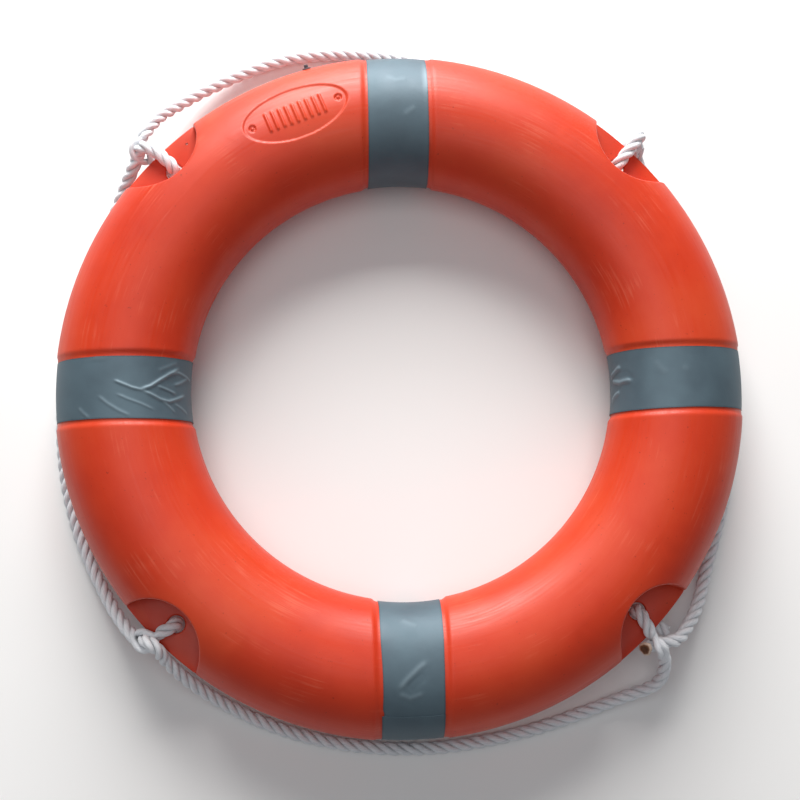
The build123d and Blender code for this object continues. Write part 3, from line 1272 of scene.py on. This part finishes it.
def steady_frames(line: Array) -> tuple[Array, Array, Array]:
    """Directions along a line, and two across it that never twist about it.

    Args:
        line: points along the line.

    Returns:
        Unit vectors along, across and square to both, one of each for each point.
    """
    along = unit(np.gradient(line, axis=0))
    across = np.zeros_like(along)
    start = np.cross(along[0], [0.0, 0.0, 1.0])
    across[0] = unit(start if np.linalg.norm(start) > 0.1 else np.cross(along[0], [1.0, 0.0, 0.0]))
    for i in range(1, len(line)):
        carried = across[i - 1] - along[i] * np.dot(across[i - 1], along[i])
        across[i] = carried / np.linalg.norm(carried)
    return along, across, np.cross(along, across)


@dataclass(frozen=True)
class Eye:
    """A place where one rope is opened between its strands to let another through.

    The side is the way that the single strand is pushed, out, along and up at the corner, and the other
    two strands go the opposite way.
    """

    spot: tuple[float, float, float]
    side: tuple[float, float, float]
    gap: float = 9.6 * MM
    reach: float = 19.0 * MM


@dataclass(frozen=True)
class HitchRun:
    """The rope's way through one corner, from the end of one loop to the start of the next."""

    corner: Corner
    points: tuple[tuple[float, float, float], ...]
    eye: Eye | None


HITCHES: dict[str, HitchRun] = {
    "start": HitchRun(
        Corner.LOWER_RIGHT,
        (
            (365.5, -23.0, 66.0), (366.5, -20.5, 61.5), (370.0, -14.0, 60.0), (375.5, -6.5, 59.5),
            (382.0, 1.5, 56.5),
        ),
        None,
    ),
    "upper_right": HitchRun(
        Corner.UPPER_RIGHT,
        (
            (368.5, -2.5, 41.5), (371.0, 3.5, 44.0), (365.0, 4.0, 45.5), (356.0, 2.0, 45.0),
            (345.0, 0.0, 45.0), (335.5, 0.0, 46.0), (334.0, 0.0, 55.0), (334.5, 0.0, 65.5),
            (342.0, 1.0, 69.0), (354.0, 2.0, 69.0), (366.0, 3.5, 69.0), (377.0, 4.5, 66.5),
            (380.5, 5.0, 57.0), (375.5, 4.0, 48.0), (369.5, 3.0, 39.0),
        ),
        Eye((371.0, 3.5, 44.0), (0.0, 1.0, 0.3)),
    ),
    "upper_left": HitchRun(
        Corner.UPPER_LEFT,
        (
            (387.0, -4.0, 57.0), (384.5, 4.0, 57.5), (378.5, 9.0, 55.5), (369.0, 7.5, 49.0),
            (361.0, 4.0, 45.0), (351.0, 1.0, 45.0), (341.0, 0.0, 45.0), (334.5, 0.0, 48.0),
            (334.0, 0.0, 57.0), (335.0, -1.0, 67.0), (344.0, -2.5, 69.0), (355.0, -1.5, 69.0),
            (366.0, 0.0, 69.0), (375.5, 3.5, 67.5), (380.0, 9.0, 58.0), (377.5, 13.5, 51.0),
        ),
        Eye((378.5, 9.0, 56.0), (0.0, 0.95, 0.3)),
    ),
    "lower_left": HitchRun(
        Corner.LOWER_LEFT,
        (
            (371.5, -17.0, 59.0), (367.5, -10.5, 63.0), (358.5, -7.0, 66.5), (349.0, -4.0, 68.5),
            (340.0, -1.5, 69.5), (334.0, 0.0, 65.5), (334.0, 0.0, 55.0), (335.5, 0.0, 46.0),
            (344.0, -1.5, 45.0), (356.0, -5.0, 45.0), (367.0, -9.5, 45.0), (370.5, -12.0, 53.0),
            (367.5, -12.0, 63.0), (365.0, -8.0, 72.0), (363.0, 0.5, 75.5), (365.0, 9.0, 69.5),
        ),
        Eye((367.5, -10.5, 63.0), (-0.6, -0.8, 0.25)),
    ),
    "lower_right": HitchRun(
        Corner.LOWER_RIGHT,
        (
            (384.5, -14.5, 58.5), (378.5, -13.0, 61.0), (371.5, -11.5, 63.0), (362.0, -9.5, 68.0),
            (351.5, -6.0, 69.5), (341.0, -2.0, 69.5), (334.0, 0.0, 65.0), (334.0, 0.0, 55.0),
            (336.0, 0.0, 46.0), (345.0, 2.0, 44.5), (357.0, 5.0, 44.5), (367.0, 7.0, 44.0),
            (375.0, 8.0, 43.0),
        ),
        Eye((372.5, -11.5, 62.5), (0.0, 0.0, -1.0)),
    ),
}

# Each loop's route, as the solid model has it: distance outside the ring's outer edge, bearing and rise
# of each corner, in millimetres and degrees. The rise is 0 on the floor and 1 at the webs' middle height.
LOOPS: dict[str, tuple[tuple[float, float, float], ...]] = {
    "grab_loop_top": (
        (31.3, 132.8, 0.890), (38.0, 130.4, 0.711), (40.0, 126.9, 0.432), (42.4, 121.8, 0.153),
        (42.6, 115.3, 0.014), (42.0, 107.7, 0.000), (35.1, 99.6, 0.000), (25.0, 90.9, 0.000),
        (17.6, 82.1, 0.000), (12.0, 73.1, 0.000), (9.4, 64.3, 0.000), (6.9, 56.2, 0.074),
        (5.0, 50.3, 0.313), (6.6, 47.2, 0.552),
    ),
    "grab_loop_left": (
        (15.1, 220.8, 0.890), (16.3, 217.9, 0.691), (15.3, 213.5, 0.392), (14.8, 207.7, 0.114),
        (12.9, 201.1, 0.000), (9.4, 193.6, 0.000), (5.5, 185.2, 0.000), (2.9, 176.0, 0.000),
        (1.4, 166.9, 0.000), (2.5, 158.0, 0.000), (5.5, 150.1, 0.034), (10.5, 144.3, 0.253),
        (13.9, 140.9, 0.532), (14.8, 138.6, 0.811),
    ),
    "grab_loop_bottom": (
        (8.9, 227.9, 0.890), (12.1, 230.2, 0.671), (14.4, 234.0, 0.373), (16.0, 239.8, 0.094),
        (16.6, 247.5, 0.000), (15.7, 256.0, 0.000), (15.5, 265.0, 0.000), (17.0, 274.1, 0.000),
        (18.9, 283.1, 0.000), (24.4, 291.4, 0.000), (31.2, 299.1, 0.024), (39.8, 305.1, 0.133),
        (48.9, 308.9, 0.353), (45.4, 311.2, 0.612), (32.8, 312.4, 0.871),
    ),
    "grab_loop_right": (
        (27.8, 317.1, 0.831), (29.5, 319.7, 0.631), (28.0, 323.3, 0.353), (22.0, 327.7, 0.094),
        (15.2, 333.6, 0.000), (10.9, 341.1, 0.000), (7.0, 349.6, 0.000), (4.1, 358.7, 0.000),
        (3.5, 7.9, 0.000), (3.8, 16.9, 0.000), (4.1, 25.7, 0.000), (5.8, 34.1, 0.074),
        (5.7, 39.8, 0.313), (6.5, 43.0, 0.552),
    ),
}


@dataclass
class GrabRope:
    """The laid rope that runs round the ring: four loops, and a hitch through each recess."""

    ring_edge: float = 360 * MM
    lying_height: float = 7.3 * MM
    web_height: float = 57.5 * MM
    diameter: float = 14 * MM
    strand_radius: float = 3.4 * MM
    lay_radius: float = 3.6 * MM
    lay_length: float = 39 * MM
    step: float = 1.5 * MM
    sides: int = 12
    lead: float = 6 * MM
    bead_radius: float = 7.0 * MM
    bead_half_height: float = 3.2 * MM
    bead_gap: float = 0.3 * MM
    opened_share: float = 0.98
    strand_shift: float = 0.37
    hinge_reach: float = 45 * MM
    chain: list[tuple[str, int, int]] = field(default_factory=list)
    lines: dict[str, Array] = field(default_factory=dict)

    def loop_line(self, name: str) -> Array:
        """One loop's smooth centreline, in the order of its route."""
        route = []
        for outside, bearing, rise in LOOPS[name]:
            reach, way = self.ring_edge + outside * MM, math.radians(bearing)
            height = self.lying_height + rise * (self.web_height - self.lying_height)
            route.append((reach * math.cos(way), reach * math.sin(way), height))
        return nurbs_line(name, np.array(route))

    def hitch_line(self, run: HitchRun, before: Array | None, after: Array | None) -> Array:
        """A hitch's smooth centreline, led in and out by the loops that it joins.

        Args:
            run: the rope's way through the corner.
            before: the loop that arrives, or None at the rope's start.
            after: the loop that leaves, or None at the rope's end.

        Returns:
            Points along the hitch.
        """
        points = list(run.corner.to_frame(run.points))
        if before is not None:
            points = [before[-1], before[-1] + self.lead * unit(before[-1] - before[-3]), *points]
        if after is not None:
            points += [after[0] - self.lead * unit(after[2] - after[0]), after[0]]
        return nurbs_line("hitch", np.array(points))

    def lay_out(self) -> tuple[Array, list[Array]]:
        """Joins the loops and hitches into one rope and lays its strands along it.

        Returns:
            The rope's centreline and the line of each strand, all with matching points.
        """
        right = self.loop_line("grab_loop_right")
        top = self.loop_line("grab_loop_top")[::-1]
        left = self.loop_line("grab_loop_left")[::-1]
        bottom = self.loop_line("grab_loop_bottom")
        pieces = [
            ("rope_start", self.hitch_line(HITCHES["start"], None, right)),
            ("grab_loop_right", right),
            ("hitch_upper_right", self.hitch_line(HITCHES["upper_right"], right, top)),
            ("grab_loop_top", top),
            ("hitch_upper_left", self.hitch_line(HITCHES["upper_left"], top, left)),
            ("grab_loop_left", left),
            ("hitch_lower_left", self.hitch_line(HITCHES["lower_left"], left, bottom)),
            ("grab_loop_bottom", bottom),
            ("hitch_lower_right", self.hitch_line(HITCHES["lower_right"], bottom, None)),
        ]
        rope: list[Array] = []
        for name, line in pieces:
            even = evenly(line, self.step)
            self.lines[name] = even
            first = sum(len(p) for p in rope) - len(rope)
            self.chain.append((name, first, first + len(even)))
            rope.append(even)
        centre = np.vstack([rope[0], *[p[1:] for p in rope[1:]]])
        along, across, square = steady_frames(centre)
        travelled = lengths_along(centre)
        strands, offsets = [], []
        for strand in range(3):
            angle = 2 * math.pi * (travelled / self.lay_length + strand / 3)
            offset = self.lay_radius * (np.cos(angle)[:, None] * across + np.sin(angle)[:, None] * square)
            offsets.append(offset)
        for name, first, last in self.chain:
            run = HITCHES.get(name.replace("hitch_", ""))
            if run is not None and run.eye is not None:
                self.open_eye(run, centre, along, travelled, first, last, offsets)
        for offset in offsets:
            strands.append(centre + offset)
        return centre, strands

    def open_eye(
        self,
        run: HitchRun,
        centre: Array,
        along: Array,
        travelled: Array,
        first: int,
        last: int,
        offsets: list[Array],
    ) -> None:
        """Parts the strands where another run of rope goes between them.

        Args:
            run: the corner's run of rope, with its eye.
            centre: the rope's centreline.
            along: the rope's direction at each point.
            travelled: the distance along the rope at each point.
            first: the run's first point.
            last: the run's last point.
            offsets: each strand's offset from the centreline, changed in place.
        """
        spot = run.corner.to_frame([run.eye.spot])[0]
        origin = run.corner.to_frame([(0.0, 0.0, 0.0)])[0]
        side = run.corner.to_frame([tuple(1000 * s for s in run.eye.side)])[0] - origin
        near = np.linalg.norm(centre[first:last] - spot, axis=1)
        half = (last - first) // 2
        middle = first + int(np.argmin(near[:half]))
        push = side - along * np.sum(side * along, axis=1, keepdims=True)
        push = unit(push)
        lift = np.cross(along, push)
        weight = smoothstep(1 - np.abs(travelled - travelled[middle]) / run.eye.reach)[:, None]
        score = [float(np.dot(offset[middle], push[middle])) for offset in offsets]
        single = int(np.argmax(score))
        others = [n for n in range(3) if n != single]
        others.sort(key=lambda n: float(np.dot(offsets[n][middle], lift[middle])))
        offsets[single] = offsets[single] * (1 - weight) + weight * run.eye.gap * push
        for n, sign in zip(others, (-1, 1)):
            apart = -run.eye.gap * push + sign * self.strand_radius * self.opened_share * lift
            offsets[n] = offsets[n] * (1 - weight) + weight * apart

    def mesh_piece(
        self, name: str, first: int, last: int, centre: Array, strands: list[Array]
    ) -> bpy.types.Object:
        """The three strands of one piece of the rope.

        Args:
            name: the piece's name.
            first: its first point on the rope.
            last: the point after its last one.
            centre: the rope's centreline.
            strands: each strand's line.

        Returns:
            The piece as an object, with its lay as a UV map and the height of its crowns as an attribute.
        """
        around = np.linspace(0, 2 * math.pi, self.sides, endpoint=False)
        points: list[Array] = []
        faces: list[tuple[int, ...]] = []
        maps: list[list[tuple[float, float]]] = []
        crowns: list[Array] = []
        count = last - first
        for number, strand in enumerate(strands):
            _, across, square = steady_frames(strand)
            run = lengths_along(strand)[first:last]
            base = sum(len(p) for p in points)
            ring = (
                strand[first:last, None]
                + self.strand_radius * np.cos(around)[None, :, None] * across[first:last, None]
                + self.strand_radius * np.sin(around)[None, :, None] * square[first:last, None]
            )
            # How far each point stands out from the rope's middle; the rope's finish paints the crowns light
            # and the valleys in shade from this.
            far = np.linalg.norm(ring - centre[first:last, None], axis=-1) / (self.diameter / 2)
            crowns.append(np.clip((far - 0.35) / 0.65, 0, 1).reshape(-1))
            points.append(ring.reshape(-1, 3))
            girth = 2 * math.pi * self.strand_radius
            for i in range(count - 1):
                for k in range(self.sides):
                    n = (k + 1) % self.sides
                    row, above = base + i * self.sides, base + (i + 1) * self.sides
                    faces.append((row + k, row + n, above + n, above + k))
                    v0, v1 = k / self.sides * girth, (k + 1) / self.sides * girth
                    u0, u1 = (run[i + m] + number * self.strand_shift for m in (0, 1))
                    maps.append([(u0, v0), (u0, v1), (u1, v1), (u1, v0)])
            for end, flip in ((0, True), (count - 1, False)):
                cap = tuple(base + end * self.sides + k for k in range(self.sides))
                faces.append(cap[::-1] if flip else cap)
                maps.append([(run[end], 0.0)] * self.sides)
        mesh = bpy.data.meshes.new(name)
        mesh.from_pydata([tuple(p) for p in np.vstack(points)], [], faces)
        layer = mesh.uv_layers.new(name="lay")
        layer.data.foreach_set("uv", np.array([c for corner in maps for c in corner]).reshape(-1))
        write_values(mesh, "crown", np.concatenate(crowns))
        obj = bpy.data.objects.new(name, mesh)
        bpy.context.scene.collection.objects.link(obj)
        pick(obj)
        bpy.ops.object.shade_smooth_by_angle(angle=math.radians(60))
        return obj

    def make_melted_end(self, centre: Array, finish: bpy.types.Material) -> bpy.types.Object:
        """The bead of melted fibre that closes the rope's cut end.

        Args:
            centre: the rope's centreline, from its cut end on.
            finish: the bead's material.

        Returns:
            The bead as an object, with how near each point is to its rim as an attribute.
        """
        out = Vector(unit(centre[0] - centre[3]))
        spot = Vector(centre[0]) + out * self.bead_gap
        deselect()
        bpy.ops.mesh.primitive_uv_sphere_add(segments=36, ring_count=18, radius=1.0, location=(0, 0, 0))
        bead = bpy.context.object
        bead.name = "rope_end_bead"
        points = np.array([v.co[:] for v in bead.data.vertices])
        bearing = np.arctan2(points[:, 1], points[:, 0])
        reach = np.hypot(points[:, 0], points[:, 1])
        lobes = 1 + 0.07 * np.cos(3 * bearing + 0.6) + 0.035 * np.sin(7 * bearing)
        dish = 0.3 * np.exp(-((reach / 0.4) ** 2)) * (points[:, 2] > 0)
        points[:, 0] *= lobes * self.bead_radius
        points[:, 1] *= lobes * self.bead_radius
        points[:, 2] = (points[:, 2] - dish) * self.bead_half_height
        turned = out.to_track_quat("Z", "Y").to_matrix()
        for vertex, point in zip(bead.data.vertices, points):
            vertex.co = spot + turned @ Vector(point)
        write_values(bead.data, "rim", smoothstep((reach - 0.55) / 0.4))
        bpy.ops.object.shade_smooth()
        bead.data.materials.append(finish)
        return bead

    def build(self, finish: bpy.types.Material, melted: bpy.types.Material) -> None:
        """Builds and dresses every piece of the rope.

        Args:
            finish: the rope's material.
            melted: the material of its melted end.
        """
        centre, strands = self.lay_out()
        made: dict[str, bpy.types.Object] = {}
        bead = self.make_melted_end(centre, melted)
        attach(bead, "ring")
        for name, first, last in self.chain:
            piece = self.mesh_piece(name + "_strands", first, last, centre, strands)
            piece.data.materials.append(finish)
            made[name] = piece
            log.info("%s: %.0f mm of rope", piece.name, 1000 * lengths_along(self.lines[name])[-1])
        for name, piece in made.items():
            if name.startswith("grab_loop"):
                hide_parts(name)
            elif name.startswith("hitch"):
                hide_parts(name)
                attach(piece, "ring")
            else:
                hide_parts("rope_end")
                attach(piece, "ring")
        partners = {
            "grab_loop_top": ["hitch_upper_left"],
            "grab_loop_left": ["hitch_lower_left"],
            "grab_loop_bottom": ["hitch_lower_right"],
            "grab_loop_right": ["hitch_upper_right", "rope_start", "bead"],
        }
        made["bead"] = bead
        for name, with_names in partners.items():
            piece = made[name]
            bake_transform(piece)


# ---------------------------------------------------------------- studio


@dataclass
class Studio:
    """The pale floor, the soft lights and the camera."""

    eye: tuple[float, float, float] = (-0.0748, -0.1823, 1.3805)
    target: tuple[float, float, float] = (-0.0033, -0.0115, 0.0575)
    picture_up: tuple[float, float, float] = (0.026, 0.9997, 0.0)
    lens: float = 57.3
    sensor_width: float = 36.0
    floor_size: float = 12.0
    sky: str = "f4f8ff"
    sky_strength: float = 0.2

    def make_camera(self) -> None:
        """Adds the camera and makes it the scene's."""
        data = bpy.data.cameras.new("camera")
        data.lens = self.lens
        data.sensor_width = self.sensor_width
        camera = bpy.data.objects.new("camera", data)
        bpy.context.scene.collection.objects.link(camera)
        eye, target = Vector(self.eye), Vector(self.target)
        ahead = (target - eye).normalized()
        right = ahead.cross(Vector(self.picture_up)).normalized()
        up = right.cross(ahead)
        turned = Matrix((right, up, -ahead)).transposed().to_4x4()
        camera.matrix_world = Matrix.Translation(eye) @ turned
        bpy.context.scene.camera = camera

    def add_light(self, name: str, spot: Sequence[float], size: float, power: float, tint: str) -> None:
        """Adds a soft square light that faces the ring.

        Args:
            name: the light's name.
            spot: where it stands, in metres.
            size: its side, in metres.
            power: its power, in watts.
            tint: its colour, as sRGB hex.
        """
        data = bpy.data.lights.new(name, "AREA")
        data.energy = power
        data.size = size
        data.color = linear(tint)[:3]
        light = bpy.data.objects.new(name, data)
        bpy.context.scene.collection.objects.link(light)
        light.location = spot
        light.rotation_euler = (Vector((0, 0, 0.05)) - Vector(spot)).to_track_quat("-Z", "Y").to_euler()

    def make(self) -> None:
        """Builds the studio."""
        deselect()
        bpy.ops.mesh.primitive_plane_add(size=self.floor_size, location=(0, 0, 0))
        floor = bpy.context.object
        floor.name = "studio_floor"
        floor.data.materials.append(StudioPaper().make())
        world = bpy.data.worlds.new("studio_world")
        world.use_nodes = True
        background = world.node_tree.nodes["Background"]
        background.inputs["Color"].default_value = linear(self.sky)
        background.inputs["Strength"].default_value = self.sky_strength
        bpy.context.scene.world = world
        bpy.context.scene.view_settings.view_transform = "Standard"
        self.add_light("key", (-0.3, 3.5, 1.95), 2.4, 256.0, "fffdfa")
        self.add_light("window", (-0.2, 2.4, 0.5), 1.3, 30.0, "f6faff")
        self.add_light("overhead", (-0.3, 0.0, 2.4), 1.6, 12.0, "ffffff")
        self.make_camera()


def main() -> None:
    """Builds the lifebuoy and its studio, piece by piece."""
    Studio().make()
    form = RingForm()
    shell = RingShell(form).build()
    shell.data.materials.clear()
    shell.data.materials.append(MouldedPolyethylene().make())
    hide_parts("shell", "foam_core")
    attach(shell, "ring")
    log.info("ring_shell: %d faces", len(shell.data.polygons))
    tape = ReflectiveTape().make()
    for band in BANDS:
        band.build(tape)
    VentPlug(form).build(PlugPlastic().make())
    GrabRope().build(LaidRope().make(), MeltedFibre().make())


if __name__ == "__main__":
    main()
